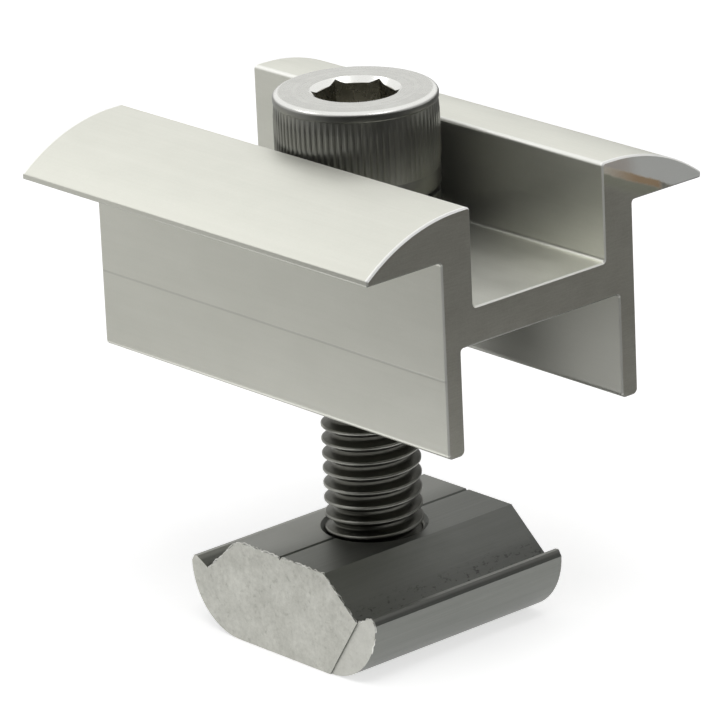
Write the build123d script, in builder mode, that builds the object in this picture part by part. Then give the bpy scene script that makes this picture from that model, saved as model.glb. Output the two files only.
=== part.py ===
from build123d import *
import os
from math import cos, degrees, pi, radians, tan

os.makedirs("parts", exist_ok=True)

# Mid clamp for framed solar modules: an extruded aluminium bar with two wings, held
# down by a socket head cap screw that runs through its web into a rail nut.
# Z is the screw's axis and points up. X runs along the bar. Y runs across its wings,
# along the rail. Z = 0 is the underside of the rail nut. Sizes are in millimetres.

# ---------------------------------------------------------------- driving dimensions

# Cap screw, M8 x 35
thread_diameter = 7.86         # over the crests
screw_length = 35.0            # under the head
tip_chamfer = 0.7
head_diameter = 13.0
head_height = 8.0
head_edge_drop = 0.5           # chamfer round the top of the head
head_edge_width = 0.6
head_base_round = 0.55
plain_band_height = 1.8        # smooth ring below the knurl
plain_band_step = 0.08         # how far that ring stands in from the knurl
knurl_count = 80
knurl_depth = 0.16
knurl_crest = 0.12             # flat left between two grooves
socket_across_flats = 6.0
socket_depth = 4.0
socket_point_angle = 120.0     # drill point at the bottom of the socket
socket_mouth_gap = 0.12        # the lead-in's rim, outside the socket's corners
socket_mouth_depth = 0.45
socket_turn = 45.0             # how the screw happens to stand about Z
screw_engagement = 6.9         # how deep the screw's end is in the nut

# Rail nut, cut from an extruded bar whose length runs along Y
nut_length = 20.2
nut_height = 8.4
nut_top_width = 10.3
shoulder_angle = 41.0          # slope of the two shoulders, from the horizontal
shoulder_drop = 2.9
gutter_depth = 0.3             # little gutter between each shoulder and its lip
lip_height = 0.7
lip_top_width = 0.35
lip_slope_width = 0.3          # outside of the lip, down to the round side
nut_base_width = 10.8
nut_corner_radius = 5.4        # big round at each lower corner
thread_running_gap = 0.05      # all round, between the thread and the nut's hole
nut_mouth_chamfer = 0.35       # countersink at both ends of that hole
score_width = 0.36             # drill guide line down the middle of the top
score_depth = 0.22
saw_step = 0.15                # one corner broke off this far behind the sawn face

# Spring lock washer, open as it is before the screw is tightened
washer_bore_gap = 0.22         # all round the screw
washer_rim_inset = 0.15        # in from the side of the head
washer_thickness = 2.0
washer_free_height = 3.5
washer_split = 0.8
seat_gap = 0.02                # above and below the washer

# Clamp bar, an H section with a wing on each upper edge
bar_length = 40.4
leg_spread = 20.0              # over the outsides of the legs
leg_thickness = 1.7
leg_length = 8.5               # from the legs' ends to the underside of the web
leg_end_round = 0.45
web_thickness = 3.0
web_hole_gap = 0.57            # all round the screw
web_corner_round = 0.3
channel_side_gap = 0.4         # each side of the screw's head
channel_depth = 7.95           # from the web to the crest of the wings
channel_edge_round = 0.35
wing_span = 34.9
wing_crest_width = 1.1         # flat along each edge of the channel
wing_depth = 3.7               # from the crest down to the flat underside
wing_tip_thickness = 0.45
wing_tip_round = 0.15
saw_edge_chamfer = 0.12        # edges of the two sawn ends, broken with a file

# ------------------------------------------------------------------- shared positions

thread_radius = thread_diameter / 2
head_radius = head_diameter / 2
screw_tip_z = nut_height - screw_engagement
head_seat_z = screw_tip_z + screw_length
head_top_z = head_seat_z + head_height
web_top_z = head_seat_z - washer_free_height - 2 * seat_gap


def corners_at(section, across, height):
    """The mirrored corners of a section that lie this far out and this high."""
    return section.vertices().filter_by(
        lambda corner: abs(abs(corner.X) - across) < 1e-4 and abs(corner.Y - height) < 1e-4
    )


# -------------------------------------------------------------------------- rail nut

nut_hole_radius = thread_radius + thread_running_gap
shoulder_slope = tan(radians(shoulder_angle))
gutter_drop = shoulder_drop + gutter_depth
gutter_x = nut_top_width / 2 + gutter_drop / shoulder_slope
gutter_z = nut_height - gutter_drop
lip_z = gutter_z + lip_height
nut_side_x = nut_base_width / 2 + nut_corner_radius
lip_outer_x = nut_side_x - lip_slope_width

with BuildPart() as rail_nut:
    with BuildSketch(Plane.XZ):
        with BuildLine():
            Polyline(
                (0, nut_height),
                (nut_top_width / 2, nut_height),
                (gutter_x, gutter_z),
                (lip_outer_x - lip_top_width, lip_z),
                (lip_outer_x, lip_z),
                (nut_side_x, nut_corner_radius),
            )
            RadiusArc((nut_side_x, nut_corner_radius), (nut_base_width / 2, 0), nut_corner_radius)
            Line((nut_base_width / 2, 0), (0, 0))
            mirror(about=Plane.YZ)
        make_face()
    extrude(amount=nut_length / 2, both=True)

    # The tapped hole is a plain bore at its running fit, countersunk at both ends
    with Locations((0, 0, nut_height)):
        Hole(nut_hole_radius)
    chamfer(rail_nut.edges().filter_by(GeomType.CIRCLE).filter_by(
        lambda edge: abs(edge.radius - nut_hole_radius) < 1e-4), nut_mouth_chamfer)

    # The line that guides the drill is rolled along the whole top
    with BuildSketch(Plane.XZ):
        Polygon(
            (-score_width / 2, nut_height),
            (score_width / 2, nut_height),
            (0, nut_height - score_depth),
            align=None,
        )
    extrude(amount=nut_length / 2, both=True, mode=Mode.SUBTRACT)

    # The saw left one side of the near end a little behind the rest
    with BuildSketch(Plane.XZ.offset(nut_length / 2)):
        Polygon(
            (gutter_x, gutter_z),
            (gutter_x, nut_height),
            (nut_side_x + saw_step, nut_height),
            (nut_side_x + saw_step, -saw_step),
            (nut_base_width / 2, -saw_step),
            (nut_base_width / 2, 0),
            align=None,
        )
    extrude(amount=-saw_step, mode=Mode.SUBTRACT)

rail_nut.part.label = "rail_nut"

# -------------------------------------------------------------------------- cap screw

band_radius = head_radius - plain_band_step
knurl_z = head_seat_z + plain_band_height
knurl_top_z = head_top_z - head_edge_drop
knurl_groove_width = 2 * pi * head_radius / knurl_count - knurl_crest
socket_corner_radius = socket_across_flats / 2 / cos(radians(30))
socket_point_height = socket_across_flats / 2 / tan(radians(socket_point_angle / 2))

with BuildPart() as cap_screw:
    with BuildSketch(Plane.XZ):
        with BuildLine():
            Polyline(
                (0, screw_tip_z),
                (thread_radius - tip_chamfer, screw_tip_z),
                (thread_radius, screw_tip_z + tip_chamfer),
                (thread_radius, head_seat_z),
                (band_radius - head_base_round, head_seat_z),
            )
            RadiusArc(
                (band_radius - head_base_round, head_seat_z),
                (band_radius, head_seat_z + head_base_round),
                -head_base_round,
            )
            Polyline(
                (band_radius, head_seat_z + head_base_round),
                (band_radius, knurl_z),
                (head_radius, knurl_z),
                (head_radius, knurl_top_z),
                (head_radius - head_edge_width, head_top_z),
                (0, head_top_z),
                (0, screw_tip_z),
            )
        make_face()
    revolve(axis=Axis.Z)

    # Hexagon socket with a lead-in at its mouth and a drill point at its bottom
    with BuildSketch(Plane.XY.offset(head_top_z)):
        RegularPolygon(socket_across_flats / 2, 6, major_radius=False, rotation=socket_turn)
    extrude(amount=-socket_depth, mode=Mode.SUBTRACT)
    mouth_radius = socket_corner_radius + socket_mouth_gap
    with Locations((0, 0, head_top_z)):
        Cone(
            mouth_radius - socket_mouth_depth,
            mouth_radius,
            socket_mouth_depth,
            align=(Align.CENTER, Align.CENTER, Align.MAX),
            mode=Mode.SUBTRACT,
        )
    with Locations((0, 0, head_top_z - socket_depth)):
        Cone(
            0,
            socket_across_flats / 2,
            socket_point_height,
            align=(Align.CENTER, Align.CENTER, Align.MAX),
            mode=Mode.SUBTRACT,
        )

    # Straight knurl: V grooves rolled up the side of the head
    with BuildSketch(Plane.XY.offset(knurl_z)):
        with PolarLocations(head_radius, knurl_count):
            Polygon(
                (-knurl_depth, 0),
                (0, knurl_groove_width / 2),
                (knurl_depth, knurl_groove_width / 2),
                (knurl_depth, -knurl_groove_width / 2),
                (0, -knurl_groove_width / 2),
                align=None,
            )
    extrude(amount=knurl_top_z - knurl_z, mode=Mode.SUBTRACT)

cap_screw.part.label = "cap_screw"

# ---------------------------------------------------------------------- spring washer

washer_inner_radius = thread_radius + washer_bore_gap
washer_outer_radius = head_radius - washer_rim_inset
coil_radius = (washer_inner_radius + washer_outer_radius) / 2
coil_rise = washer_free_height - washer_thickness
coil_turns = 1 - degrees(washer_split / coil_radius) / 360

with BuildPart() as spring_washer:
    # Left-handed, so that its ends bite when a right-handed screw starts to turn back
    with BuildLine():
        coil = Helix(
            coil_rise / coil_turns,
            coil_rise,
            coil_radius,
            center=(0, 0, web_top_z + seat_gap + washer_thickness / 2),
            lefthand=True,
        )
    with BuildSketch(Plane(origin=coil @ 0, x_dir=(1, 0, 0), z_dir=coil % 0)):
        Rectangle(washer_outer_radius - washer_inner_radius, washer_thickness)
    sweep(path=coil, is_frenet=True)

spring_washer.part.label = "spring_washer"

# -------------------------------------------------------------------------- clamp bar

channel_half = head_radius + channel_side_gap
leg_outer = leg_spread / 2
leg_inner = leg_outer - leg_thickness
web_bottom_z = web_top_z - web_thickness
leg_end_z = web_bottom_z - leg_length
crest_z = web_top_z + channel_depth
wing_under_z = crest_z - wing_depth
wing_tip = (wing_span / 2, wing_under_z + wing_tip_thickness)
crest_end = (channel_half + wing_crest_width, crest_z)

with BuildPart() as clamp_body:
    with BuildSketch(Plane.YZ) as bar_section:
        with BuildLine():
            Polyline((0, web_top_z), (channel_half, web_top_z), (channel_half, crest_z), crest_end)
            TangentArc(crest_end, wing_tip, tangent=(1, 0))
            Polyline(
                wing_tip,
                (wing_span / 2, wing_under_z),
                (leg_outer, wing_under_z),
                (leg_outer, leg_end_z),
                (leg_inner, leg_end_z),
                (leg_inner, web_bottom_z),
                (0, web_bottom_z),
            )
            mirror(about=Plane.YZ)
        make_face()
        fillet(corners_at(bar_section, leg_outer, leg_end_z), leg_end_round)
        fillet(corners_at(bar_section, leg_inner, leg_end_z), leg_end_round)
        fillet(corners_at(bar_section, leg_inner, web_bottom_z), web_corner_round)
        fillet(corners_at(bar_section, leg_outer, wing_under_z), web_corner_round)
        fillet(corners_at(bar_section, channel_half, web_top_z), web_corner_round)
        fillet(corners_at(bar_section, channel_half, crest_z), channel_edge_round)
        fillet(corners_at(bar_section, wing_span / 2, wing_under_z), wing_tip_round)
        fillet(corners_at(bar_section, *wing_tip), wing_tip_round)
    extrude(amount=bar_length / 2, both=True)
    for end in (Axis.X, -Axis.X):
        chamfer(clamp_body.faces().sort_by(end)[-1].edges(), saw_edge_chamfer)

    # Clearance hole for the screw
    with Locations((0, 0, web_top_z)):
        Hole(thread_radius + web_hole_gap)

clamp_body.part.label = "clamp_body"

# ----------------------------------------------------------------------------- export

for piece in (rail_nut, cap_screw, spring_washer, clamp_body):
    export_step(piece.part, f"parts/{piece.part.label}.step")
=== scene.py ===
# %% [markdown]
# # A mid clamp for solar modules
# The clamp is four pieces of metal: an extruded bar with two wings, a socket head cap
# screw, a spring washer and a rail nut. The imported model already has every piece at
# its real size. This lesson gives each piece its finish, makes a real thread on the
# screw and in the nut, and lights the whole as a shop would show it.

import bmesh
import bpy
from math import cos, pi, radians, sin, tan
from mathutils import Matrix, Vector


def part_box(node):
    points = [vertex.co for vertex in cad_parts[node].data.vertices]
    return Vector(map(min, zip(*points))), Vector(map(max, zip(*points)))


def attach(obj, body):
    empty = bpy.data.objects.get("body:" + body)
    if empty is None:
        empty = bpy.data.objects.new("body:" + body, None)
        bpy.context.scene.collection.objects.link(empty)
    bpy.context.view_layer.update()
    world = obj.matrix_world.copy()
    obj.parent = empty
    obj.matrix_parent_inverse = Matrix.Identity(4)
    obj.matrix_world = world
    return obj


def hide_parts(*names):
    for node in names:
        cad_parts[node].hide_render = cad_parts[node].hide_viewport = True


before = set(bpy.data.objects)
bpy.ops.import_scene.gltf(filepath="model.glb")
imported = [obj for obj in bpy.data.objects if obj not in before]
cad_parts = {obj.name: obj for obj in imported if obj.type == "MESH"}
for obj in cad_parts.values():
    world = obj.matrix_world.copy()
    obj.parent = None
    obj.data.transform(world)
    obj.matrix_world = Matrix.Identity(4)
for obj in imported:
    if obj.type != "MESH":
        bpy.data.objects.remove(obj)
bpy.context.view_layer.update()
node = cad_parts
MM = 0.001

# %% [markdown]
# ## Sizes
# The outer sizes are read from the imported pieces, so the new pieces meet the imported ones. The few
# numbers that a box doesn't tell are named: the thread's and the socket's are the standard's for this screw,
# and the rest are sizes of the bar's and the nut's sections.

# %% Sizes of the screw
screw_low, screw_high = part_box("cap_screw")
HEAD_HEIGHT = 8.0 * MM
head_radius = screw_high.x
head_top = screw_high.z
head_seat = head_top - HEAD_HEIGHT
PITCH = 1.25 * MM
CREST_RADIUS = 3.93 * MM
ROOT_RADIUS = 3.24 * MM
SOCKET_FLAT = 3.0 * MM
socket_corner = SOCKET_FLAT / cos(radians(30))
washer_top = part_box("spring_washer")[1].z
print("head seat at", round(head_seat / MM, 2), "mm, washer top at", round(washer_top / MM, 2), "mm")

# %% Heights and widths on the clamp bar, in millimetres
bar_low, bar_high = (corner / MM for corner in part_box("clamp_body"))
LEG_LENGTH = 8.5
WEB_THICKNESS = 3.0
WING_DEPTH = 3.7
LEG_INSIDE = 8.3
CHANNEL_SIDE = 6.9
bar_end = bar_high.x
web_under = bar_low.z + LEG_LENGTH
web_top = web_under + WEB_THICKNESS
wing_under = bar_high.z - WING_DEPTH
print("web from", round(web_under, 2), "to", round(web_top, 2), "mm, wings from", round(wing_under, 2))

# %% Sizes of the rail nut's section
nut_low, nut_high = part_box("rail_nut")
TOP_HALF = 5.15 * MM
GUTTER_OUT = 8.83 * MM
GUTTER_HEIGHT = 5.2 * MM
LIP_RISE = 0.7 * MM
print("nut is", round((nut_high.x - nut_low.x) / MM, 2), "mm wide and", round(nut_high.z / MM, 2), "mm high")

# %% [markdown]
# ## Node sums written as Python
# Shaders and Geometry Nodes both do their sums with Math nodes. Placing them by hand
# is slow to read, so a small class wraps a socket and turns `+`, `-`, `*`, `/`, `<`
# and `>` into Math nodes. One method, `Graph.node`, makes any other node: its
# settings are set first, because they can change which sockets it has, and then its
# sockets get values or links.


# %% Sockets that can be added and multiplied
class Wire:
    """The output of a node, in a form that sums can be written with."""

    def __init__(self, graph, socket):
        self.graph, self.socket = graph, socket

    def out(self, name):
        """Another output of the same node."""
        return Wire(self.graph, self.socket.node.outputs[name])

    def _math(self, operation, *values):
        return self.graph.node("ShaderNodeMath", {"operation": operation}, dict(enumerate(values)))

    def __add__(self, other):
        return self._math("ADD", self, other)

    def __sub__(self, other):
        return self._math("SUBTRACT", self, other)

    def __rsub__(self, other):
        return self._math("SUBTRACT", other, self)

    def __mul__(self, other):
        return self._math("MULTIPLY", self, other)

    def __truediv__(self, other):
        return self._math("DIVIDE", self, other)

    def __rtruediv__(self, other):
        return self._math("DIVIDE", other, self)

    def __lt__(self, other):
        return self._math("LESS_THAN", self, other)

    def __gt__(self, other):
        return self._math("GREATER_THAN", self, other)

    __radd__ = __add__
    __rmul__ = __mul__

    def abs(self):
        return self._math("ABSOLUTE", self)

    def fraction(self):
        return self._math("FRACT", self)

    def floor(self):
        return self._math("FLOOR", self)

    def sine(self):
        return self._math("SINE", self)

    def cosine(self):
        return self._math("COSINE", self)

    def power(self, other):
        return self._math("POWER", self, other)

    def least(self, other):
        return self._math("MINIMUM", self, other)

    def most(self, other):
        return self._math("MAXIMUM", self, other)

    def step(self, low, high):
        """0 below low, 1 above high, and a smooth slope between them."""
        return self.graph.node(
            "ShaderNodeMapRange", {"interpolation_type": "SMOOTHSTEP"}, {0: self, 1: low, 2: high}
        )

    def past(self, edge, blur):
        """0 short of an edge and 1 past it, with a slope as wide as the blur."""
        return self.step(edge - blur / 2, edge + blur / 2)

    def sway(self, amount):
        """A noise from 0 to 1, made to swing about zero by this amount in all."""
        return (self - 0.5) * amount

    def axis(self, name):
        """One part of a vector."""
        return self.graph.node("ShaderNodeSeparateXYZ", {}, {0: self}, name)

    def times(self, x, y, z):
        """A vector with each of its three parts multiplied."""
        return self.graph.node("ShaderNodeVectorMath", {"operation": "MULTIPLY"}, {0: self, 1: (x, y, z)})

    def from_screw(self):
        """How far a point is from the Z axis, which is the screw's."""
        x, y = self.axis("X"), self.axis("Y")
        return (x * x + y * y).power(0.5)


class Graph:
    """A node tree, with one method that makes nodes of every kind."""

    def __init__(self, tree):
        self.tree = tree

    def node(self, kind, settings=None, sockets=None, output=0):
        """A new node: its settings, then values or wires for its sockets, then the output to use."""
        made = self.tree.nodes.new(kind)
        for name, value in (settings or {}).items():
            setattr(made, name, value)
        for name, value in (sockets or {}).items():
            if isinstance(value, Wire):
                self.tree.links.new(value.socket, made.inputs[name])
            else:
                made.inputs[name].default_value = value
        return Wire(self, made.outputs[output]) if made.outputs else made

    def mix(self, share, first, second):
        """A colour between two others, each a wire or a red, green and blue."""
        first, second = (c if isinstance(c, Wire) else (*c, 1) for c in (first, second))
        return self.node("ShaderNodeMix", {"data_type": "RGBA"}, {0: share, 6: first, 7: second}, 2)

    def noise(self, place, scale, detail=2.0, roughness=0.5):
        """Soft noise from 0 to 1. The scale is about how many waves fit in a unit of place."""
        sockets = {"Vector": place, "Scale": scale, "Detail": detail, "Roughness": roughness}
        return self.node("ShaderNodeTexNoise", {}, sockets)


print("socket sums are ready")

# %% [markdown]
# ## Metal finishes
# Every piece is metal, so what changes over a surface is its colour, its roughness, a
# very fine relief and, under dirt, how much of it is bare. Patterns are laid out in
# millimetres on Object coordinates: they stay on the metal when a piece moves, and
# they need no unwrapping. `metal_graph` starts a shader and finds the place and the
# direction of the surface. `feed` links what varies to the shader.


# %% A metal shader to build on
def metal_graph(name, metallic=1.0):
    """A new metal, and the graph that its pattern is written in."""
    material = bpy.data.materials.new(name)
    material.use_nodes = True
    graph = Graph(material.node_tree)
    material.node_tree.nodes.clear()
    graph.shader = graph.node("ShaderNodeBsdfPrincipled", {}, {"Metallic": metallic}).socket.node
    graph.node("ShaderNodeOutputMaterial", {}, {"Surface": Wire(graph, graph.shader.outputs[0])})
    where = graph.node("ShaderNodeTexCoord", {}, {}, "Object")
    graph.facing = where.out("Normal")
    graph.place = where.times(1 / MM, 1 / MM, 1 / MM)
    graph.material = material
    return graph


def feed(graph, colour, roughness, height, depth, metallic=None):
    """Links what varies over the surface to the shader. Depth is the relief's, in metres."""
    bump = graph.node("ShaderNodeBump", {}, {"Strength": 1.0, "Distance": depth, "Height": height})
    varying = {"Base Color": colour, "Roughness": roughness, "Normal": bump}
    if metallic is not None:
        varying["Metallic"] = metallic
    for name, wire in varying.items():
        graph.tree.links.new(wire.socket, graph.shader.inputs[name])
    print(graph.material.name, "has", len(graph.tree.nodes), "nodes")
    return graph.material


# %% [markdown]
# ### The clamp bar
# The bar is pressed hot through a die, which leaves faint lines along its length, and
# is then sawn across. Noise stretched along X gives the lines: it has few waves to a
# millimetre along the bar and many across it. The sawn ends face along X, so the
# surface's own direction finds them, and they get short saw marks instead.

# %% Noises on the bar
graph = metal_graph("bar_aluminium")
place = graph.place
x, y, z = (place.axis(name) for name in "XYZ")
facing_end, facing_up = graph.facing.axis("X"), graph.facing.axis("Z")
sawn = facing_end.abs().step(0.7, 0.95)
die_lines = graph.noise(place.times(0.012, 2.2, 2.2), 1.0, 4.0, 0.6)
fine_lines = graph.noise(place.times(0.02, 9.0, 9.0), 1.0, 2.0, 0.6)
clouds = graph.noise(place.times(0.5, 1.0, 1.0), 0.35, 3.0, 0.55)
saw_marks = graph.noise(place.times(1.0, 0.7, 9.0), 1.0, 3.0, 0.6)
grain = graph.noise(place, 5.0, 3.0, 0.7)
print("the bar's patterns run to", round(bar_end, 1), "mm each way along X")

# %% Skin and saw cut
SKIN_DARK, SKIN_PALE = (0.72, 0.725, 0.652), (0.865, 0.865, 0.797)
CUT_DARK, CUT_PALE = (0.58, 0.565, 0.49), (0.80, 0.79, 0.71)
skin_tone = 0.5 + die_lines.sway(0.3) + clouds.sway(0.7) + grain.sway(0.3)
skin = graph.mix(skin_tone, SKIN_DARK, SKIN_PALE)
cut_tone = 0.5 + saw_marks.sway(0.8) + grain.sway(0.7) + clouds.sway(0.6)
cut = graph.mix(cut_tone, CUT_DARK, CUT_PALE)
print("drawn skin from", SKIN_DARK, "to", SKIN_PALE)

# %% [markdown]
# One deeper line runs along the left leg, where the die had a nick. It is a thin band
# at one height, so it comes from the distance to that height, which a little noise
# makes waver.

# %% The nick's line
NICK_ABOVE_LEG_END = 6.32
NICK_GREY = (0.36, 0.36, 0.34)
nick_height = bar_low.z + NICK_ABOVE_LEG_END
nick = 1 - (z - nick_height + clouds.sway(0.1)).abs().step(0.04, 0.13)
nick = nick * (y < bar_low.y / 2) * (0.45 + fine_lines * 0.5) * (1 - sawn)
skin = graph.mix(nick * 0.4, skin, NICK_GREY)
print("nick at", round(nick_height, 2), "mm")

# %% [markdown]
# On one end the saw ran out into the right wing. That left a dull patch above, a brown
# streak that falls to the right, a thin tan haze over it and olive dirt below it. All
# four follow one slanting line, so they share a height that is measured from it.

# %% Marks on the near end's right wing
STREAK_FALL = 0.456
STREAK_LOW, STREAK_HIGH, STREAK_END = 2.94, 3.57, 13.05
DIRT_LOW = 1.99
HAZE_END = 10.74
DULL_GREY, TAN, OLIVE, BROWN = (0.60, 0.61, 0.59), (0.42, 0.35, 0.30), (0.38, 0.41, 0.28), (0.46, 0.32, 0.19)
wobble = clouds.sway(0.5) + grain.sway(0.3)
near_wing = (facing_end > 0.9) * (y > CHANNEL_SIDE + 0.05)
rise = z - wing_under + (y - CHANNEL_SIDE) * STREAK_FALL + wobble
over, above_dirt = rise.past(STREAK_HIGH, 0.25), rise.past(STREAK_LOW, 0.3)
streak = near_wing * above_dirt * (1 - over) * (1 - (y + wobble * 2).past(STREAK_END, 0.7))
dirt = near_wing * rise.past(DIRT_LOW, 0.9) * (1 - above_dirt)
haze_reach = y + (z - wing_under) * 0.3 + wobble * 3
haze = near_wing * over * (1 - haze_reach.past(HAZE_END, 2.0))
dull = near_wing * over
cut = graph.mix(dull * 0.9, cut, DULL_GREY)
cut = graph.mix(haze * 0.55, cut, TAN)
cut = graph.mix(dirt * 0.5, cut, OLIVE)
cut = graph.mix(streak * y.step(5.5, 11.0) * 0.95, cut, BROWN)
print("streak ends", STREAK_END, "mm from the screw")

# %% [markdown]
# Edges tell how a piece was handled. The sawn ends' edges were broken with a file; they are less metallic,
# and painted pale as a highlight, most where they face up. A painted highlight also runs along the wings'
# rims, at the bar's ends and beside the channel, where they face up. Edges that look down are painted dark,
# as shade.

# %% Filed edges, and painted highlights and shade on edges
FILED_EDGE_HIGHLIGHT_WHITE, WING_RIM_HIGHLIGHT_WHITE, LOW_EDGE_SHADE = (0.96, 0.955, 0.93), (0.99, 0.99, 0.965), (0.13, 0.13, 0.12)
RIM_WIDTH = 0.3
WEB_CORNER = 1.6
edge = facing_end.abs().step(0.25, 0.45)
on_web = (z < web_top + WEB_CORNER) * (y.abs() < CHANNEL_SIDE)
# Filed edges painted pale as a highlight, strongest where they face up, weaker on the web.
filed_edge_highlight = edge * (1 - sawn) * (facing_up > -0.3)
filed_edge_highlight = filed_edge_highlight * (0.45 + facing_up.step(0.1, 0.5) * 0.55) * (1 - on_web * 0.6)
skin = graph.mix(filed_edge_highlight * 0.95, skin, FILED_EDGE_HIGHLIGHT_WHITE)
on_wing = z > wing_under
by_channel = y.abs() < CHANNEL_SIDE + RIM_WIDTH
# Painted highlight along the wings' rims, at the bar's ends and beside the channel, where they face up.
wing_rim_highlight = (x.abs() > bar_end - RIM_WIDTH).most(by_channel * 0.6) * on_wing * facing_up.step(0.2, 0.5)
skin = graph.mix(wing_rim_highlight * 0.9, skin, WING_RIM_HIGHLIGHT_WHITE)
print("rims are", RIM_WIDTH, "mm wide")

# %% [markdown]
# Painted shade darkens the hollow under the web, every face that looks down, and the channel round the
# screw's head, most near the head.

# %% Painted shade in the hollow, in the channel and on low edges
HOLLOW_SHADE_GREY, CHANNEL_SHADE_GREY = (0.40, 0.40, 0.37), (0.24, 0.245, 0.228)
CHANNEL_SHADE_START, CHANNEL_SHADE_END = 1.0, 12.5
# Painted shade: the hollow under the web and every face that looks down.
hollow_shade = (1 - y.abs().past(LEG_INSIDE + 0.35, 0.5)) * (1 - z.past(web_under, 0.6)) + (facing_up < -0.4)
skin = graph.mix(hollow_shade.least(1.0) * 0.62, skin, HOLLOW_SHADE_GREY)
# Painted shade in the channel round the screw's head, fading out toward the bar's ends.
channel = (y.abs() < CHANNEL_SIDE + 0.15) * (facing_up.abs() < 0.3).most(z < web_top + WEB_CORNER)
channel_shade = channel * (1 - x.abs().step(CHANNEL_SHADE_START, CHANNEL_SHADE_END)) * (0.85 + clouds * 0.3)
skin = graph.mix(channel_shade * 0.7, skin, CHANNEL_SHADE_GREY)
# Painted shade on edges that look down.
skin = graph.mix(edge * (facing_up < -0.3) * 0.85, skin, LOW_EDGE_SHADE)
print("grime fades out", CHANNEL_SHADE_END, "mm from the screw")

# %% Put the bar's finish together
RELIEF_ON_BAR = 0.006 * MM
wing_top = on_wing * facing_up.step(0.4, 0.7)
colour = graph.mix(sawn, skin, cut)
roughness = 0.40 + clouds.sway(0.14) + fine_lines.sway(0.12) + dull * 0.15 + filed_edge_highlight * 0.18 + wing_top * 0.12
height = (die_lines * 0.35 + fine_lines * 0.35 - nick * 1.5) * (1 - sawn)
height = height + (saw_marks * 0.6 + grain * 0.4) * sawn
bare = 0.93 - dull * 0.66 - (streak + dirt * 0.3) * 0.55 - filed_edge_highlight * 0.55
bar_aluminium = feed(graph, colour, roughness, height, RELIEF_ON_BAR, bare)

# %% [markdown]
# ### The rail nut
# The nut is cut from a drawn bar with a dark skin, which is streaked along Y. Pits lie
# along its gutters, and the tops of its lips are worn bright. Places on the section
# are given from the gutter, so that they move with it.

# %% The nut's skin
graph = metal_graph("nut_aluminium", metallic=0.9)
place = graph.place
x, z = place.axis("X"), place.axis("Z")
facing_up = graph.facing.axis("Z")
NUT_DARK, NUT_PALE = (0.16, 0.166, 0.153), (0.275, 0.282, 0.263)
PIT, WORN, TOP_LIGHT_PAINT = (0.035, 0.035, 0.032), (0.50, 0.50, 0.47), (0.48, 0.48, 0.455)
gutter, gutter_height = GUTTER_OUT / MM, GUTTER_HEIGHT / MM
streaks = graph.noise(place.times(2.4, 0.05, 2.4), 1.0, 4.0, 0.6)
fine_streaks = graph.noise(place.times(8.0, 0.12, 8.0), 1.0, 2.0, 0.6)
clouds = graph.noise(place.times(1.0, 0.4, 1.0), 0.5, 3.0, 0.6)
skin = graph.mix(0.5 + streaks.sway(0.5) + fine_streaks.sway(0.3) + clouds.sway(0.5), NUT_DARK, NUT_PALE)

by_gutter = x.abs().past(gutter - 0.98, 1.3) * (1 - x.abs().past(gutter + 0.42, 0.5))
by_gutter = by_gutter * facing_up.step(0.2, 0.4)
pitted = graph.noise(place.times(3.2, 1.8, 3.2), 1.0, 3.0, 0.65).step(0.55, 0.68) * by_gutter
skin = graph.mix(pitted * 0.6 + by_gutter * 0.25, skin, PIT)
worn = z.past(gutter_height + 0.5, 0.2) * (x.abs() > gutter + 0.57) * (0.4 + streaks * 0.6)
skin = graph.mix(worn, skin, WORN)
# Faces that look up are painted paler as light falling on them: the flat top most of all, and most toward
# -X.
painted_top_light = facing_up.step(0.9, 0.97) * (1 - x.past(-1.0, 4.0)) * 0.55 + facing_up.step(0.3, 0.6) * 0.12
skin = graph.mix(painted_top_light, skin, TOP_LIGHT_PAINT)
print("pits lie round", gutter, "mm each side")

# %% [markdown]
# The nut's two sawn ends are bright bare metal that the saw has mottled. Three noises of different size lie
# over one another, as one alone looks like cloud. The ear of the near end stands a little behind the sawn
# face, and it is painted a little lighter, as the light that its own face catches.

# %% The nut's sawn ends
NUT_CUT_DARK, NUT_CUT_PALE, NICK_DARK = (0.42, 0.42, 0.38), (0.66, 0.66, 0.61), (0.29, 0.29, 0.255)
EAR_LIGHT_PAINT = (0.66, 0.66, 0.62)
EAR_EDGE, EAR_SLANT = 5.4, 0.66
RELIEF_ON_NUT = 0.02 * MM
sawn = graph.facing.axis("Y").abs().step(0.75, 0.95)
patches = graph.noise(place, 0.55, 3.0, 0.55)
mottle = graph.noise(place, 1.9, 4.0, 0.6)
speckle = graph.noise(place, 5.0, 3.0, 0.65)
nicks = graph.noise(place, 1.7, 4.0, 0.7).step(0.54, 0.72)
cut = graph.mix(0.5 + patches.sway(0.7) + mottle.sway(0.9) + speckle.sway(0.8), NUT_CUT_DARK, NUT_CUT_PALE)
cut = graph.mix(nicks * 0.4, cut, NICK_DARK)
# The ear's face is painted lighter, as light on a face that stands a little back.
cut = graph.mix((x - z * EAR_SLANT).past(EAR_EDGE, 0.04) * 0.4, cut, EAR_LIGHT_PAINT)
colour = graph.mix(sawn, skin, cut)
roughness = 0.42 + clouds.sway(0.2) + sawn * 0.06 + speckle.sway(0.1)
height = (streaks * 0.5 + fine_streaks * 0.3 - pitted * 0.4) * (1 - sawn)
height = height + (mottle * 0.6 + speckle * 0.4 - nicks * 0.5) * sawn
nut_aluminium = feed(graph, colour, roughness, height, RELIEF_ON_NUT)

# %% [markdown]
# ### The screw's head
# The head is turned, so its top carries fine rings about the axis. One-dimensional noise on the distance
# from the axis draws them. A painted highlight lies on the rounded rim and the socket's lead-in. The knurl
# is a darker grey, with a painted dark reflection on its upper part, under the rim, and the socket is
# painted darker brown as shade.

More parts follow.
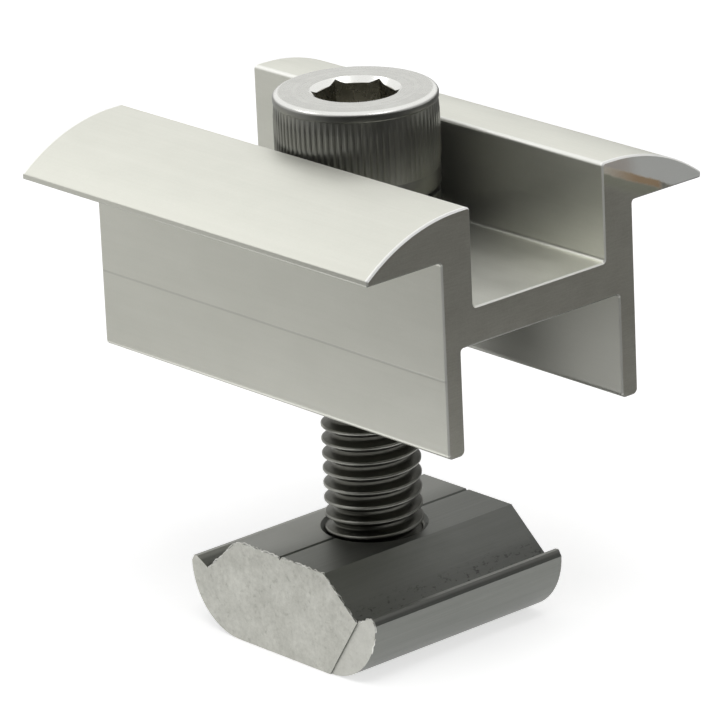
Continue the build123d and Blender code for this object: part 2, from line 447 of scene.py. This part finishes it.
# %% The head's finish
graph = metal_graph("screw_steel")
z, facing_up = graph.place.axis("Z"), graph.facing.axis("Z")
out = graph.place.from_screw()
STEEL_DARK, STEEL_PALE, HEAD_RIM_HIGHLIGHT_WHITE = (0.46, 0.46, 0.43), (0.68, 0.68, 0.64), (0.95, 0.95, 0.92)
KNURL_GREY, KNURL_DARK_REFLECTION, SOCKET_SHADE_BROWN = (0.30, 0.30, 0.28), (0.10, 0.10, 0.093), (0.30, 0.275, 0.20)
RELIEF_ON_HEAD = 0.004 * MM
top = facing_up.step(0.8, 0.95)
head_top_mm = head_top / MM
rings = {"W": out * 1.6, "Scale": 1.0, "Detail": 2.0}
rings = graph.node("ShaderNodeTexNoise", {"noise_dimensions": "1D"}, rings)
grain = graph.noise(graph.place, 0.8, 3.0, 0.55)
fine = graph.noise(graph.place.times(1.0, 1.0, 0.25), 5.0, 2.0, 0.5)
tone = 0.5 + grain.sway(0.8) + fine.sway(0.15) * (1 - top) + rings.sway(0.7) * top
steel = graph.mix(tone, STEEL_DARK, STEEL_PALE)

# Painted highlight on the rounded rim and the socket's lead-in.
head_rim_highlight = (z > head_top_mm - 0.52) * facing_up.step(0.25, 0.5) * (1 - facing_up.step(0.96, 0.995))
steel = graph.mix(head_rim_highlight * 0.65, steel, HEAD_RIM_HIGHLIGHT_WHITE)
knurled = (out > head_radius / MM - 0.3) * (1 - facing_up.abs().step(0.5, 0.8))
steel = graph.mix(knurled * 0.45, steel, KNURL_GREY)
# Painted dark reflection on the upper part of the knurl, under the rim.
steel = graph.mix(knurled * z.past(head_top_mm - 4.1, 3.0) * 0.5, steel, KNURL_DARK_REFLECTION)
# Painted shade inside the socket, dark brown.
sunk = (out < socket_corner / MM + 0.09) * (z < head_top_mm - 0.35) * (1 - head_rim_highlight)
steel = graph.mix(sunk * 0.45, steel, SOCKET_SHADE_BROWN)
roughness = 0.27 + grain.sway(0.14) + rings.sway(0.15) * top + knurled * 0.05
screw_steel = feed(graph, steel, roughness, rings * top, RELIEF_ON_HEAD)

# %% [markdown]
# ### The thread and the washer
# The thread is rolled and dark, and its crests carry a pale painted highlight, here and there. The distance
# from the axis finds them. The washer is plain hardened steel.

# %% The thread's and the washer's finishes
THREAD_DARK, THREAD_CREST_HIGHLIGHT = (0.125, 0.124, 0.108), (0.52, 0.52, 0.48)
RELIEF_ON_THREAD = 0.012 * MM
graph = metal_graph("thread_steel")
crest = graph.place.from_screw().past(CREST_RADIUS / MM - 0.085, 0.09)
grain = graph.noise(graph.place, 2.2, 4.0, 0.65)
highlight_patches = graph.noise(graph.place, 0.3, 2.0, 0.5).step(0.3, 0.7)
# Painted highlight on the crests, in patches.
colour = graph.mix(crest * (highlight_patches * 0.7 + grain * 0.5), THREAD_DARK, THREAD_CREST_HIGHLIGHT)
thread_steel = feed(graph, colour, 0.36 + grain.sway(0.3), grain * (1 - crest), RELIEF_ON_THREAD)

WASHER_DARK, WASHER_PALE = (0.30, 0.30, 0.28), (0.52, 0.52, 0.49)
RELIEF_ON_WASHER = 0.01 * MM
graph = metal_graph("washer_steel")
grain = graph.noise(graph.place, 2.5, 4.0, 0.65)
fine = graph.noise(graph.place.times(1, 1, 4), 9.0, 2.0, 0.6)
colour = graph.mix(0.5 + grain.sway(1.2) + fine.sway(0.4), WASHER_DARK, WASHER_PALE)
washer_steel = feed(graph, colour, 0.34 + grain.sway(0.25), grain * 0.6 + fine * 0.4, RELIEF_ON_WASHER)

# %% [markdown]
# The bar, the nut and the washer keep their imported shapes, and take their finish as their only material.
# The imported screw takes its finish too, although finer pieces replace it below.


# %% Dress the imported pieces
def dress(name, material):
    """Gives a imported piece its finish."""
    mesh = node[name].data
    mesh.materials.clear()
    mesh.materials.append(material)
    print(name, "wears", material.name)


dress("clamp_body", bar_aluminium)
dress("rail_nut", nut_aluminium)
dress("spring_washer", washer_steel)
dress("cap_screw", screw_steel)

# %% [markdown]
# ## Geometry Nodes that end in plain meshes
# A thread, a knurl and a burr all follow a rule, so each is a node tree with named
# inputs. `grow` puts a tree on an object, sets the inputs by their identifiers, takes
# the evaluated result as a plain mesh and removes the modifier.


# %% Trees and how they are used
def rule_tree(name, inputs):
    """A new geometry tree and its named inputs, as wires."""
    tree = bpy.data.node_groups.new(name, "GeometryNodeTree")
    for title, kind in inputs.items():
        tree.interface.new_socket(title, in_out="INPUT", socket_type="NodeSocket" + kind)
    tree.interface.new_socket("Mesh", in_out="OUTPUT", socket_type="NodeSocketGeometry")
    source = tree.nodes.new("NodeGroupInput")
    graph = Graph(tree)
    return graph, {title: Wire(graph, source.outputs[title]) for title in inputs}


def close_tree(graph, mesh, material):
    """Every tree ends alike: real faces, then the material."""
    real = graph.node("GeometryNodeRealizeInstances", {}, {0: mesh})
    painted = graph.node("GeometryNodeSetMaterial", {}, {"Geometry": real, "Material": material})
    graph.node("NodeGroupOutput", {}, {0: painted})
    print("the rule", graph.tree.name, "has", len(graph.tree.nodes), "nodes")
    return graph.tree


def vector(graph, x=0.0, y=0.0, z=0.0):
    """Three numbers or wires as one vector."""
    return graph.node("ShaderNodeCombineXYZ", {}, {0: x, 1: y, 2: z})


def grow(name, tree, values, material, base=None):
    """The plain mesh object that a tree makes from these values, and from a base mesh."""
    piece = bpy.data.objects.new(name, base or bpy.data.meshes.new(name))
    bpy.context.scene.collection.objects.link(piece)
    rule = piece.modifiers.new("rule", "NODES")
    rule.node_group = tree
    for socket in tree.interface.items_tree:
        if socket.in_out == "INPUT" and socket.socket_type != "NodeSocketGeometry":
            rule[socket.identifier] = values.get(socket.name, material)
    bpy.context.view_layer.update()
    evaluated = piece.evaluated_get(bpy.context.evaluated_depsgraph_get())
    mesh = bpy.data.meshes.new_from_object(evaluated)
    piece.modifiers.remove(rule)
    piece.data = mesh
    mesh.name = name
    print(name, "has", len(mesh.vertices), "points and", len(mesh.polygons), "faces")
    return piece


# %% [markdown]
# ## The thread
# A screw thread is one groove that climbs one pitch a turn. The tree bends a flat
# grid round the axis and lifts each column as it goes round, so that the last column
# meets the first a pitch higher, and welds them. The distance from the axis follows
# the groove's section: a flat crest an eighth of the pitch wide, straight flanks, and
# a flat root a quarter of the pitch wide. What would stick out past either end is
# pulled flat and in, to close the end. The nut's thread is the same rule with a little
# room, seen from the inside. Both are laid out from Z = 0, so they mesh, and stay in
# mesh while the screw turns and lifts by a pitch a turn.

# %% The thread's inputs
thread_inputs = {
    "Pitch": "Float",
    "Turns": "Int",
    "Crest radius": "Float",
    "Root radius": "Float",
    "Bottom": "Float",
    "Top": "Float",
    "End radius": "Float",
    "Cap radius": "Float",
    "Side": "Float",
    "Finish": "Material",
}
graph, given = rule_tree("helical thread", thread_inputs)
pitch, bottom, top = given["Pitch"], given["Bottom"], given["Top"]
print("the thread's rule takes", len(thread_inputs), "inputs")

# %% The flat grid, and where each of its points goes
AROUND = 96
ROWS_PER_PITCH = 16
ROOT_FLAT, CREST_FLAT = 0.25, 0.125
WELD = 0.001 * MM
rows = given["Turns"] * ROWS_PER_PITCH + 1
grid = {"Size X": 1, "Size Y": 1, "Vertices X": AROUND + 1, "Vertices Y": rows}
grid = graph.node("GeometryNodeMeshGrid", {}, grid)
index = graph.node("GeometryNodeInputIndex")
column = ((index + 0.5) / rows).floor()
climb = (index - column * rows) / ROWS_PER_PITCH
round_share = column / AROUND
start = ((bottom / pitch).floor() - 2) * pitch
raw_z = start + (climb + round_share) * pitch

from_root = (climb.fraction() * 2 - 1).abs()
lift = ((from_root - ROOT_FLAT) / (1 - ROOT_FLAT - CREST_FLAT)).most(0.0).least(1.0)
section = given["Root radius"] + (given["Crest radius"] - given["Root radius"]) * lift
print("the grid has", AROUND, "columns and", ROWS_PER_PITCH, "rows to a pitch")

# %% Chamfer and close both ends, and bend the grid
z = raw_z.most(bottom).least(top)
from_end = (z - bottom).least(top - z)
side = given["Side"]
chamfered = side * (side * section).least(side * given["End radius"] + from_end)
overshoot = (bottom - raw_z).most(raw_z - top).most(0.0)
kept = (1 - overshoot / (pitch * 0.5)).most(0.0)
reach = given["Cap radius"] + (chamfered - given["Cap radius"]) * kept
angle = round_share * (2 * pi)
spot = vector(graph, reach * angle.cosine(), reach * angle.sine(), z)
bent = graph.node("GeometryNodeSetPosition", {}, {"Geometry": grid, "Position": spot})
welded = graph.node("GeometryNodeMergeByDistance", {}, {"Geometry": bent, "Distance": WELD})
smooth = graph.node("GeometryNodeSetShadeSmooth", {}, {"Geometry": welded, "Shade Smooth": True})
thread_rule = close_tree(graph, smooth, given["Finish"])

# %% [markdown]
# The weld leaves a tube, and a tube's ends can stay open. So each grown thread is
# closed and its faces are turned outwards, and edges sharper than a given angle are
# kept crisp under smooth shading.


# %% Close a shell and shade it
def close_and_turn_out(piece, crease):
    """Merges doubles, bridges open rims, turns faces outwards and keeps creases crisp."""
    shell = bmesh.new()
    shell.from_mesh(piece.data)
    bmesh.ops.remove_doubles(shell, verts=shell.verts, dist=WELD / 2)
    bmesh.ops.dissolve_degenerate(shell, edges=shell.edges, dist=WELD / 5)
    rims = [edge for edge in shell.edges if edge.is_boundary]
    if rims:
        bmesh.ops.bridge_loops(shell, edges=rims)
    bmesh.ops.recalc_face_normals(shell, faces=shell.faces)
    for face in shell.faces:
        face.smooth = True
    left_open = sum(edge.is_boundary for edge in shell.edges)
    shell.to_mesh(piece.data)
    shell.free()
    piece.data.set_sharp_from_angle(angle=crease)
    print(piece.name, "has", left_open, "open edges")


# %% [markdown]
# The screw's thread is rolled up to the head, and its tip is chamfered to find the
# nut. The top of the thread goes a little way into the head, so that no gap shows.

# %% Make the screw's thread
THREAD_CREASE = radians(75)
SPARE_TURNS = 6
HEAD_OVERLAP = 0.4 * MM
TIP_CHAMFER = 0.7 * MM
screw_thread = grow(
    "screw_thread",
    thread_rule,
    {
        "Pitch": PITCH,
        "Turns": int((head_seat - screw_low.z) / PITCH) + SPARE_TURNS,
        "Crest radius": CREST_RADIUS,
        "Root radius": ROOT_RADIUS,
        "Bottom": screw_low.z,
        "Top": head_seat + HEAD_OVERLAP,
        "End radius": CREST_RADIUS - TIP_CHAMFER,
        "Cap radius": 0.0,
        "Side": 1.0,
    },
    thread_steel,
)
close_and_turn_out(screw_thread, THREAD_CREASE)
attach(screw_thread, "screw")

# %% [markdown]
# The nut is tapped, and its hole is countersunk at both ends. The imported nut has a
# plain hole and stays as it is, so its thread is a sleeve of its own that stands out
# from the wall of the hole.

# %% Tap the nut's hole
THREAD_ROOM = 0.045 * MM
NUT_BORE_RADIUS = 3.98 * MM
NUT_COUNTERSINK = 0.35 * MM
BORE_SKIN = 0.2 * MM
nut_thread = grow(
    "nut_thread",
    thread_rule,
    {
        "Pitch": PITCH,
        "Turns": int(nut_high.z / PITCH) + SPARE_TURNS,
        "Crest radius": CREST_RADIUS + THREAD_ROOM,
        "Root radius": ROOT_RADIUS + 2 * THREAD_ROOM,
        "Bottom": NUT_COUNTERSINK,
        "Top": nut_high.z - NUT_COUNTERSINK,
        "End radius": NUT_BORE_RADIUS,
        "Cap radius": NUT_BORE_RADIUS + BORE_SKIN,
        "Side": -1.0,
    },
    thread_steel,
)
close_and_turn_out(nut_thread, THREAD_CREASE)
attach(nut_thread, "nut")

# %% [markdown]
# ## The screw's head
# The head is turned, then a hexagon socket is pressed into it. It is one stack of
# rings from the seat, up the side, over the rounded edge and down into the socket.
# Round rings keep one radius. In the socket the radius follows the hexagon, and its
# six corners fall on columns, so they stay crisp. A boolean cut would leave long thin
# faces there.

# %% Shapes of single rings
SOCKET_TURN = radians(45)
SOCKET_DEPTH = 4.0 * MM
MOUTH_RADIUS = socket_corner + 0.12 * MM
MOUTH_FOOT = MOUTH_RADIUS - 0.45 * MM


def hexagon(angle):
    """How far the socket's wall is from the axis at this angle."""
    off_flat = (angle - SOCKET_TURN) % radians(60) - radians(30)
    return SOCKET_FLAT / cos(off_flat)


def mouth(angle):
    """Where the round lead-in meets the hexagon's wall."""
    radius = max(hexagon(angle), MOUTH_FOOT)
    return radius, head_top - (MOUTH_RADIUS - radius)


def ring(radius, height):
    """A round ring."""
    return lambda angle: (radius, height)


def rounding(centre_radius, centre_height, reach_out, reach_up, first, last, steps):
    """Rings along part of an ellipse, for a rounded edge. First and last are in degrees."""
    turns = [radians(first + (last - first) * i / steps) for i in range(steps + 1)]
    return [ring(centre_radius + reach_out * cos(t), centre_height + reach_up * sin(t)) for t in turns]


print("socket", round(2 * SOCKET_FLAT / MM, 1), "mm across flats")

# %% [markdown]
# Below the knurl runs a plain band with a rounded foot. Above the knurl the head's
# edge is rounded along part of an ellipse, as the rounding is wider than it is high.

# %% Rings from the seat up to the rim
BAND_RADIUS = head_radius - 0.08 * MM
BAND_STEP = 0.03 * MM
BASE_ROUND = 0.55 * MM
SEAT_WIDTH = 1.2 * MM
KNURL_DEPTH = 0.10 * MM
EDGE_OUT, EDGE_UP = 0.60 * MM, 0.46 * MM
knurl_low = head_seat + 1.8 * MM
knurl_high = head_top - 0.75 * MM
core_radius = head_radius - KNURL_DEPTH
rings = [ring(BAND_RADIUS - BASE_ROUND - SEAT_WIDTH, head_seat)]
rings += rounding(BAND_RADIUS - BASE_ROUND, head_seat + BASE_ROUND, BASE_ROUND, BASE_ROUND, -90, 0, 5)
rings += [
    ring(BAND_RADIUS, knurl_low - 4 * BAND_STEP),
    ring(BAND_RADIUS - BAND_STEP, knurl_low - BAND_STEP),
    ring(core_radius, knurl_low + 2 * BAND_STEP),
    ring(core_radius, knurl_high - 0.10 * MM),
    ring(head_radius - 0.02 * MM, knurl_high),
]
rings += rounding(head_radius - EDGE_OUT, head_top - EDGE_UP, EDGE_OUT, EDGE_UP, 8, 90, 6)
print("knurl from", round(knurl_low / MM, 2), "to", round(knurl_high / MM, 2), "mm")

# %% Rings over the top and down the socket
FLOOR_RADIUS = SOCKET_FLAT * 0.97
point_height = FLOOR_RADIUS / tan(radians(60))
rings += [
    ring(head_radius - 1.2 * MM, head_top),
    ring(MOUTH_RADIUS + 0.25 * MM, head_top),
    ring(MOUTH_RADIUS + 0.03 * MM, head_top),
    ring(MOUTH_RADIUS, head_top - 0.01 * MM),
    mouth,
    lambda angle: (hexagon(angle), mouth(angle)[1]),
    lambda angle: (hexagon(angle), head_top - SOCKET_DEPTH),
    ring(FLOOR_RADIUS, head_top - SOCKET_DEPTH),
]
print("the head is a stack of", len(rings), "rings")

# %% [markdown]
# The rings become a mesh: each is joined to the next by four-sided faces, and a point
# closes the seat. The last point is the tip of the cone that the drill left in the
# floor of the socket.


# %% Turn the head
COLUMNS = 144
HEAD_CREASE = radians(24)


def stack_rings(name, rings, low_pole, high_pole, material):
    """A closed mesh through rings, with a pole at each end."""
    shell = bmesh.new()
    angles = [SOCKET_TURN + 2 * pi * i / COLUMNS for i in range(COLUMNS)]
    loops = []
    for shape in rings:
        spots = [(shape(a), a) for a in angles]
        loops.append([shell.verts.new((r * cos(a), r * sin(a), z)) for (r, z), a in spots])
    for lower, upper in zip(loops, loops[1:]):
        for i in range(COLUMNS):
            j = (i + 1) % COLUMNS
            shell.faces.new((lower[i], lower[j], upper[j], upper[i]))
    for loop, height in ((loops[0], low_pole), (loops[-1], high_pole)):
        pole = shell.verts.new((0, 0, height))
        for i in range(COLUMNS):
            shell.faces.new((loop[i], loop[(i + 1) % COLUMNS], pole))
    mesh = bpy.data.meshes.new(name)
    shell.to_mesh(mesh)
    shell.free()
    mesh.materials.append(material)
    piece = bpy.data.objects.new(name, mesh)
    bpy.context.scene.collection.objects.link(piece)
    return piece


socket_point = head_top - SOCKET_DEPTH - point_height
screw_head = stack_rings("screw_head", rings, head_seat, socket_point, screw_steel)
close_and_turn_out(screw_head, HEAD_CREASE)
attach(screw_head, "screw")
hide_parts("cap_screw")

# %% [markdown]
# ### The knurl
# Eighty ridges are rolled up the side of the head for fingers to grip. One ridge is a
# small bar that tapers outwards and slopes at both ends. Geometry Nodes put a copy of it
# on the axis for every ridge and turn each a step further, so only one bar is shaped.

# %% One ridge
knurl_inputs = {
    "Count": "Int",
    "Radius": "Float",
    "Depth": "Float",
    "Crest": "Float",
    "Bottom": "Float",
    "Top": "Float",
    "Finish": "Material",
}
graph, given = rule_tree("straight knurl", knurl_inputs)
SUNK = 0.1 * MM
END_SHARE = 0.45
END_DROP = 0.9
bar = graph.node("GeometryNodeMeshCube", {}, {"Vertices X": 3, "Vertices Y": 2, "Vertices Z": 6})
spot = graph.node("GeometryNodeInputPosition")
outward, across, along = spot.axis("X") + 0.5, spot.axis("Y") * 2, spot.axis("Z") + 0.5
foot_width = (2 * pi) * given["Radius"] / given["Count"]
half_width = (foot_width + (given["Crest"] - foot_width) * outward) * 0.5
to_end = ((along * 2 - 1).abs() - END_SHARE).most(0.0) / (1 - END_SHARE)
lift = given["Depth"] * outward * (1 - to_end.power(3.0) * END_DROP)
foot = given["Radius"] - given["Depth"] - SUNK + SUNK * (outward > 0.1)
height = given["Top"] - given["Bottom"]
shaped = vector(graph, foot + lift, across * half_width, along * height)
ridge = graph.node("GeometryNodeSetPosition", {}, {"Geometry": bar, "Position": shaped})
print("one ridge is sunk", round(SUNK / MM, 2), "mm into the head")

# %% A ridge at every turn
points = graph.node("GeometryNodePoints", {}, {"Count": given["Count"]})
turn = graph.node("GeometryNodeInputIndex") * (2 * pi) / given["Count"]
copies = {"Points": points, "Instance": ridge, "Rotation": vector(graph, z=turn)}
copies = graph.node("GeometryNodeInstanceOnPoints", {}, copies)
lifted = {"Geometry": copies, "Translation": vector(graph, z=given["Bottom"])}
lifted = graph.node("GeometryNodeTransform", {}, lifted)
knurl_rule = close_tree(graph, lifted, given["Finish"])

# %% Roll the knurl
RIDGES = 80
RIDGE_CREST = 0.10 * MM
screw_knurl = grow(
    "screw_knurl",
    knurl_rule,
    {
        "Count": RIDGES,
        "Radius": head_radius,
        "Depth": KNURL_DEPTH,
        "Crest": RIDGE_CREST,
        "Bottom": knurl_low,
        "Top": knurl_high - 0.02 * MM,
    },
    screw_steel,
)
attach(screw_knurl, "screw")

# %% [markdown]
# ## The burr on the nut
# The saw left a ragged bright lip along the upper edge of the nut's near end. It
# follows the outline of the section, so a tree takes that outline as a path, cuts it
# into short steps, pushes each step about at random and gives it a random thickness.
# The seed is an input, so the same burr grows each time.

# %% The burr's rule
burr_inputs = {
    "Path": "Geometry",
    "Step": "Float",
    "Thickness": "Float",
    "Raggedness": "Float",
    "Seed": "Int",
    "Finish": "Material",
}
graph, given = rule_tree("ragged burr", burr_inputs)
THINNEST, THICKEST = 0.45, 1.3
SIDES = 5
line = graph.node("GeometryNodeMeshToCurve", {}, {0: given["Path"]})
line = graph.node("GeometryNodeResampleCurve", {"mode": "LENGTH"}, {"Curve": line, "Length": given["Step"]})
rag = given["Raggedness"]
low, high = vector(graph, rag * -0.6, rag * -0.3, rag * -0.5), vector(graph, rag * 0.6, rag * 0.8, rag * 0.9)
push = {0: low, 1: high, "Seed": given["Seed"]}
push = graph.node("FunctionNodeRandomValue", {"data_type": "FLOAT_VECTOR"}, push)
ragged = graph.node("GeometryNodeSetPosition", {}, {"Geometry": line, "Offset": push})
spread = {2: THINNEST, 3: THICKEST, "Seed": given["Seed"] + 1}
spread = graph.node("FunctionNodeRandomValue", {"data_type": "FLOAT"}, spread, 1)
sized = graph.node("GeometryNodeSetCurveRadius", {}, {"Curve": ragged, "Radius": spread})
section = {"Resolution": SIDES, "Radius": given["Thickness"] * 0.5}
section = graph.node("GeometryNodeCurvePrimitiveCircle", {}, section)
lip = {"Curve": sized, "Profile Curve": section, "Fill Caps": True, "Scale": spread}
lip = graph.node("GeometryNodeCurveToMesh", {}, lip)
burr_rule = close_tree(graph, lip, given["Finish"])

# %% The burr's bright metal
BURR_DARK, BURR_PALE = (0.62, 0.62, 0.58), (0.88, 0.88, 0.84)
RELIEF_ON_BURR = 0.01 * MM
graph = metal_graph("burr_aluminium")
grain = graph.noise(graph.place, 6.0, 3.0, 0.6)
bright = graph.mix(grain, BURR_DARK, BURR_PALE)
burr_aluminium = feed(graph, bright, 0.3 + grain * 0.2, grain, RELIEF_ON_BURR)

# %% [markdown]
# The burr's two paths are the section's own corners. One goes over the shoulders and
# dips into the guide line down the middle of the top. The other goes round the ear,
# which stands a little behind the sawn face.

# %% Paths along the section
SCORE_HALF = 0.18 * MM
SCORE_DEPTH = 0.22 * MM
SAW_STEP = 0.15 * MM
LIP_IN, LIP_OUT = nut_high.x - 0.65 * MM, nut_high.x - 0.3 * MM
near_face = nut_low.y + 0.02 * MM
ear_face = near_face + SAW_STEP
right_half = [(SCORE_HALF, nut_high.z), (TOP_HALF, nut_high.z), (GUTTER_OUT, GUTTER_HEIGHT)]
left_half = [(-across, up) for across, up in reversed(right_half)]
upper_edge = left_half + [(0, nut_high.z - SCORE_DEPTH)] + right_half
ear_edge = [
    (GUTTER_OUT, GUTTER_HEIGHT),
    (LIP_IN, GUTTER_HEIGHT + LIP_RISE),
    (LIP_OUT, GUTTER_HEIGHT + LIP_RISE),
    (nut_high.x, 5.4 * MM),
    (nut_high.x - 0.15 * MM, 4.1 * MM),
    (nut_high.x - 0.55 * MM, 3.0 * MM),
]


def path_mesh(name, face, outline):
    """Edges through the points of an outline, on a face across Y."""
    spots = [(across, face, up) for across, up in outline]
    mesh = bpy.data.meshes.new(name)
    mesh.from_pydata(spots, [(i, i + 1) for i in range(len(spots) - 1)], [])
    return mesh


print("the burr runs through", len(upper_edge), "and", len(ear_edge), "corners")

# %% Raise the burr
BURR_SIZES = {"Step": 0.22 * MM, "Thickness": 0.13 * MM, "Raggedness": 0.13 * MM}
for name, face, outline, seed in (
    ("nut_burr", near_face, upper_edge, 4),
    ("nut_ear_burr", ear_face, ear_edge, 9),
):
    burr = grow(name, burr_rule, BURR_SIZES | {"Seed": seed}, burr_aluminium, path_mesh(name, face, outline))
    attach(burr, "nut")

# %% [markdown]
# ## The floor
# The floor is white and keeps the clamp's soft shadow. Seen from the camera or in a
# mirror it glows a little as well, so that it melts into the white background. For
# lighting the clamp it is plain matt paint.


# %% Things that belong to the stage
def staged(name, corners, faces, material):
    """A mesh that is part of the stage and not of the clamp."""
    mesh = bpy.data.meshes.new(name)
    mesh.from_pydata(corners, [], faces)
    mesh.materials.append(material)
    thing = bpy.data.objects.new(name, mesh)
    bpy.context.scene.collection.objects.link(thing)
    print(name, "is staged")
    return thing


def bare_graph(owner):
    """An empty node tree on a material or a world."""
    owner.use_nodes = True
    owner.node_tree.nodes.clear()
    return Graph(owner.node_tree)


def white_share(graph):
    """1 for rays from the camera, in mirrors and through glass, and 0 for light on matt things."""
    path = graph.node("ShaderNodeLightPath", {}, {}, "Is Camera Ray")
    return path.most(path.out("Is Glossy Ray")).most(path.out("Is Transmission Ray"))


# %% Lay the floor
FLOOR_REACH = 3.0
FLOOR_DROP = 0.02 * MM
FLOOR_GLOW = 0.6
floor_white = bpy.data.materials.new("floor_white")
graph = bare_graph(floor_white)
matt = graph.node("ShaderNodeBsdfDiffuse", {}, {"Color": (0.8, 0.8, 0.8, 1)})
glow = {"Color": (1, 1, 1, 1), "Strength": white_share(graph) * FLOOR_GLOW}
glow = graph.node("ShaderNodeEmission", {}, glow)
both = graph.node("ShaderNodeAddShader", {}, {0: matt, 1: glow})
graph.node("ShaderNodeOutputMaterial", {}, {"Surface": both})
signs = ((-1, -1), (1, -1), (1, 1), (-1, 1))
corners = [(x * FLOOR_REACH, y * FLOOR_REACH, -FLOOR_DROP) for x, y in signs]
staged("floor", corners, [(0, 1, 2, 3)], floor_white)

# %% [markdown]
# ## The card ring
# Polished metal only looks like metal when it has something dark to mirror, so a low
# ring of grey card stands round the clamp, higher and dark in front and brighter at the
# back and the left. It is there for mirror reflections alone: it throws no shadow, it
# lights nothing matt, and no camera sees it.

# %% Brightness round the ring
RING_RADIUS = 48 * MM
RING_SHADE = 0.03
grey_card = bpy.data.materials.new("grey_card")
graph = bare_graph(grey_card)
where = graph.node("ShaderNodeTexCoord", {}, {}, "Object")


def lobe(direction, strength, power):
    """Brightness that is greatest on one side of the ring and fades round it."""
    turn = radians(direction)
    toward = (where.axis("X") * cos(turn) + where.axis("Y") * sin(turn)) / RING_RADIUS
    return (toward * 0.5 + 0.5).most(0.0).power(power) * strength


level = RING_SHADE + lobe(150, 0.6, 7.0) + lobe(-135, 0.5, 6.0) + lobe(45, 0.115, 4.0)
shade = graph.mix(level, (0, 0, 0), (1, 1, 0.98))
glow = graph.node("ShaderNodeEmission", {}, {"Color": shade, "Strength": 1.0})
graph.node("ShaderNodeOutputMaterial", {}, {"Surface": glow})
print("the ring is brightest toward 150 degrees")

# %% Stand the ring up
RING_LOW, RING_HIGH = 48 * MM, 110 * MM
RING_SIDES = 64
DARK_SIDE = radians(-38)
turns = [2 * pi * i / RING_SIDES for i in range(RING_SIDES)]
rims = [RING_LOW + (RING_HIGH - RING_LOW) * (0.5 + 0.5 * cos(a - DARK_SIDE)) ** 4 for a in turns]
corners = [(RING_RADIUS * cos(a), RING_RADIUS * sin(a), 0.0) for a in turns]
corners += [(RING_RADIUS * cos(a), RING_RADIUS * sin(a), rim) for a, rim in zip(turns, rims)]
following = [(i + 1) % RING_SIDES for i in range(RING_SIDES)]
faces = [(i, j, RING_SIDES + j, RING_SIDES + i) for i, j in enumerate(following)]
card = staged("card_ring", corners, faces, grey_card)
card.visible_camera = card.visible_diffuse = card.visible_shadow = card.visible_transmission = False

# %% [markdown]
# ## Lamps
# The key lamp lights what is matt and throws the shadow. No mirror reflection sees it,
# because it would burn out the wings from some sides. The two sheen lamps are the other
# way about: only mirror reflections see them, and they draw bright lines on rounded
# edges.

# %% Hang the lamps
AIM_AT = Vector((0, 0, 20)) * MM


def lamp(name, place, size, power):
    """A round area lamp that faces the clamp."""
    data = bpy.data.lights.new(name, "AREA")
    data.shape, data.size, data.energy = "DISK", size, power
    thing = bpy.data.objects.new(name, data)
    bpy.context.scene.collection.objects.link(thing)
    place = Vector(place)
    turned = (place - AIM_AT).to_track_quat("Z", "Y").to_matrix().to_4x4()
    thing.matrix_world = Matrix.Translation(place) @ turned
    print(name, "lamp at", round(place.length, 2), "m")
    return thing


lamp("key", (0.22, -0.19, 0.75), 0.45, 2.0).visible_glossy = False
lamp("sheen left", (-0.45, -0.38, 0.72), 0.26, 0.5).visible_diffuse = False
lamp("sheen right", (0.38, 0.09, 0.78), 0.26, 0.5).visible_diffuse = False

# %% [markdown]
# ## The white world
# The background is white to the camera and in mirrors. On matt surfaces it shines at
# less than half of that, so that the key lamp still throws a shadow.

# %% World
MATT_STRENGTH = 0.45
studio = bpy.data.worlds.new("studio")
bpy.context.scene.world = studio
graph = bare_graph(studio)
strength = MATT_STRENGTH + white_share(graph) * (1 - MATT_STRENGTH)
sky = graph.node("ShaderNodeBackground", {}, {"Color": (1, 1, 1, 1), "Strength": strength})
graph.node("ShaderNodeOutputWorld", {}, {"Surface": sky})
bpy.context.scene.view_settings.view_transform = "Standard"
print("the world's strength on matt things is", MATT_STRENGTH)

# %% [markdown]
# ## The camera
# A long lens far away, looking down by about twenty degrees on one end of the bar and
# one end of the nut. It is rolled by a few degrees about its own line of sight, which
# makes the clamp look less stiff.

# %% Camera
VIEW_TURN = radians(48.75)
VIEW_HEIGHT = radians(19.5)
VIEW_ROLL = radians(2.6)
VIEW_DISTANCE = 472.7 * MM
LENS, SENSOR = 300.0, 36
NEAREST, FARTHEST = 0.01, 10
AIM = Vector((-0.38, -0.44, 22.18)) * MM

away = Vector((sin(VIEW_TURN) * cos(VIEW_HEIGHT), -cos(VIEW_TURN) * cos(VIEW_HEIGHT), sin(VIEW_HEIGHT)))
camera = bpy.data.objects.new("camera", bpy.data.cameras.new("camera"))
bpy.context.scene.collection.objects.link(camera)
camera.data.lens, camera.data.sensor_width = LENS, SENSOR
camera.data.clip_start, camera.data.clip_end = NEAREST, FARTHEST
turned = away.to_track_quat("Z", "Y").to_matrix().to_4x4() @ Matrix.Rotation(-VIEW_ROLL, 4, "Z")
camera.matrix_world = Matrix.Translation(AIM + away * VIEW_DISTANCE) @ turned
bpy.context.scene.camera = camera
print("camera", round(VIEW_DISTANCE / MM), "mm away")
